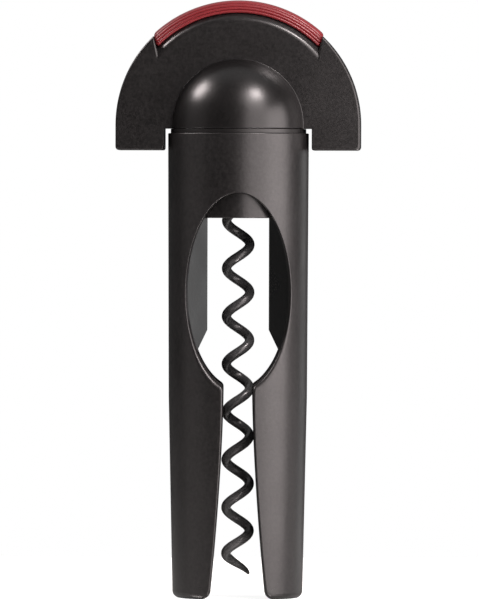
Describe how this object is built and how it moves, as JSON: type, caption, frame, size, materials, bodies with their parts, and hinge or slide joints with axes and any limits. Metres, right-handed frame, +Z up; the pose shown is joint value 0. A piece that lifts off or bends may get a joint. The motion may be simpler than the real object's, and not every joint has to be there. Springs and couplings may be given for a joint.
{
  "type": "corkscrew",
  "caption": "Self-pulling corkscrew: a slotted tube frame that straddles a bottle's neck, with a half-disc handle that turns a coated helical worm through a guide.",
  "frame": {"origin": "on the worm's axis, at the level of the feet", "axes": "+Z up along the worm's axis, from the feet to the handle; the front with the plain oval window faces -Y"},
  "size_m": [0.0698, 0.0398, 0.1693],
  "materials": {
    "frame_nylon": "satin moulded black nylon",
    "guide_nylon": "satin moulded black nylon",
    "ring_acetal": "smooth black acetal",
    "handle_nylon": "fine-textured black nylon, smoother on the dome",
    "grip_rubber": "ribbed red soft-touch elastomer",
    "spindle_steel": "turned steel",
    "worm_coating": "dark non-stick coating on steel wire",
    "peg_plastic": "natural acetal"
  },
  "bodies": {
    "frame": {"tube_frame": "frame_nylon", "guide_sleeve": "guide_nylon"},
    "ring": {"thrust_ring": "ring_acetal"},
    "handle": {"handle_front_shell": "handle_nylon", "handle_rear_shell": "handle_nylon", "grip_insert": "grip_rubber", "spindle": "spindle_steel", "worm": "worm_coating", "shell_pegs": "peg_plastic"}
  },
  "joints": [
    {"name": "handle_turn", "type": "hinge", "parent": "frame", "child": "ring", "pos_m": [0, 0, 0.1322], "axis": [0, 0, 1], "continuous": true},
    {"name": "handle_lift", "type": "slide", "parent": "ring", "child": "handle", "axis": [0, 0, 1], "range_m": [0, 0.1]}
  ]
}
